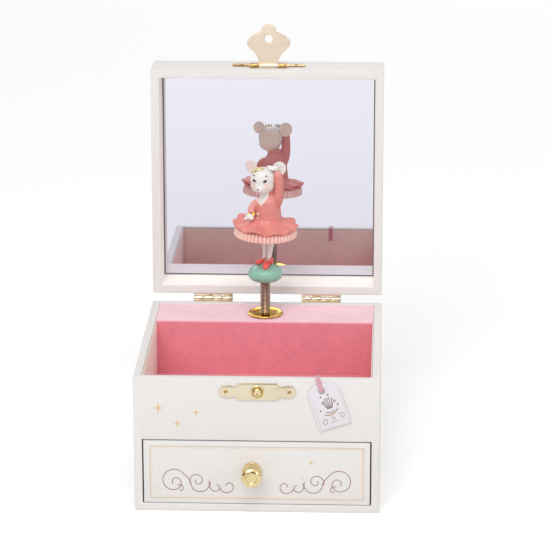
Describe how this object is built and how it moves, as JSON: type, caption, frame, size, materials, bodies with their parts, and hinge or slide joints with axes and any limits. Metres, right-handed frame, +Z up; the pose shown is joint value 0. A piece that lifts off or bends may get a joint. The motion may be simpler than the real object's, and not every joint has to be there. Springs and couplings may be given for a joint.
{
  "type": "wind-up music box",
  "caption": "paper-covered music box with mirror lid, lined well, drawer and comb movement; a small dancer turns on a spring while it plays",
  "frame": {"origin": "centre of the base's flat underside", "axes": "+X right, +Y to the back where the lid hinges, +Z up; the drawer opens toward -Y"},
  "size_m": [0.11, 0.1467, 0.1969],
  "materials": {
    "covered_board": "off-white paper over board",
    "lining": "rose flocked paper",
    "pale_lining": "pale pink flocked paper",
    "gold": "polished brass plate",
    "pale_gold": "satin pale brass plate",
    "spring_steel": "drawn spring steel",
    "casting": "tumbled die casting",
    "mirror": "silvered sheet",
    "dancer_paint": "hand-painted cast resin",
    "dome_paint": "glossy teal paint on resin",
    "ribbon": "satin ribbon",
    "card": "smooth white card"
  },
  "bodies": {
    "root": {"side_left": "covered_board", "side_right": "covered_board", "back_panel": "covered_board", "bottom_panel": "covered_board", "front_panel": "covered_board", "drawer_shelf": "covered_board", "partition": "covered_board", "ledge_board": "covered_board", "lining_left": "lining", "lining_right": "lining", "lining_front": "lining", "lining_floor": "lining", "lining_partition": "lining", "lining_ledge": "pale_lining", "hinge_left_base_leaf": "gold", "hinge_left_pin": "gold", "hinge_right_base_leaf": "gold", "hinge_right_pin": "gold", "latch_plate": "pale_gold", "latch_stud": "pale_gold", "ribbon": "ribbon", "bedplate": "casting", "comb": "spring_steel", "comb_screw_1": "spring_steel", "comb_screw_2": "spring_steel", "spindle_bush": "gold"},
    "lid": {"lid_panel": "covered_board", "lid_side_left": "covered_board", "lid_side_right": "covered_board", "lid_front": "covered_board", "lid_back": "covered_board", "mirror": "mirror", "hinge_left_lid_leaf": "gold", "hinge_right_lid_leaf": "gold", "hasp_leaf": "pale_gold", "hasp_pin": "pale_gold"},
    "hasp": {"hasp_flap": "pale_gold"},
    "drawer": {"drawer_front": "covered_board", "drawer_side_left": "covered_board", "drawer_side_right": "covered_board", "drawer_back": "covered_board", "drawer_bottom": "covered_board", "drawer_lining": "lining", "drawer_knob": "gold", "knob_screw": "spring_steel"},
    "tag": {"hang_tag": "card"},
    "winding": {"winding_arbor": "spring_steel", "winding_key": "gold"},
    "barrel": {"spring_barrel": "gold", "mainspring": "spring_steel"},
    "cylinder": {"pin_cylinder": "gold", "drive_pinion": "gold", "fly_gear": "gold", "spindle": "spring_steel", "spring_cup": "gold"},
    "fly": {"fly": "gold"},
    "spring": {"doll_spring": "spring_steel"},
    "doll": {"dome_base": "dome_paint", "dancer": "dancer_paint"}
  },
  "joints": [
    {"name": "lid_hinge", "type": "hinge", "parent": "root", "child": "lid", "pos_m": [0, 0.0574, 0.0644], "axis": [1, 0, 0], "range_deg": [0, 91.6]},
    {"name": "hasp_turn", "type": "hinge", "parent": "lid", "child": "hasp", "pos_m": [0.0005, 0.06635, 0.17724], "axis": [1, 0, 0], "range_deg": [-70, 90]},
    {"name": "drawer_slide", "type": "slide", "parent": "root", "child": "drawer", "axis": [0, -1, 0], "range_m": [0, 0.068]},
    {"name": "tag_swing", "type": "hinge", "parent": "root", "child": "tag", "pos_m": [0.0273, -0.0553, 0.0636], "axis": [-1, 0, 0], "range_deg": [0, 60], "deforming": ["ribbon"]},
    {"name": "key_turn", "type": "hinge", "parent": "root", "child": "winding", "pos_m": [0, 0.06, 0.0175], "axis": [0, -1, 0], "range_deg": [0, 1440]},
    {"name": "barrel_spin", "type": "hinge", "parent": "root", "child": "barrel", "pos_m": [0, 0.046, 0.0175], "axis": [0, 1, 0], "continuous": true},
    {"name": "cylinder_spin", "type": "hinge", "parent": "root", "child": "cylinder", "pos_m": [0, 0.0366, 0.041], "axis": [0, 0, 1], "continuous": true},
    {"name": "fly_spin", "type": "hinge", "parent": "root", "child": "fly", "pos_m": [-0.0081, 0.0366, 0.056], "axis": [0, 0, 1], "continuous": true},
    {"name": "doll_fold", "type": "hinge", "parent": "root", "child": "spring", "pos_m": [0, 0.0339, 0.072], "axis": [1, 0, 0], "range_deg": [0, 105.5], "deforming": ["doll_spring"]},
    {"name": "doll_spin", "type": "hinge", "parent": "spring", "child": "doll", "pos_m": [0, 0.0366, 0.08], "axis": [0, 0, 1], "continuous": true}
  ],
  "couplings": [
    {"joint": "doll_fold", "follows": "lid_hinge", "ratio": 1.1463},
    {"joint": "cylinder_spin", "follows": "barrel_spin", "ratio": -2.5},
    {"joint": "fly_spin", "follows": "barrel_spin", "ratio": 7.5},
    {"joint": "doll_spin", "follows": "barrel_spin", "ratio": -2.5}
  ]
}
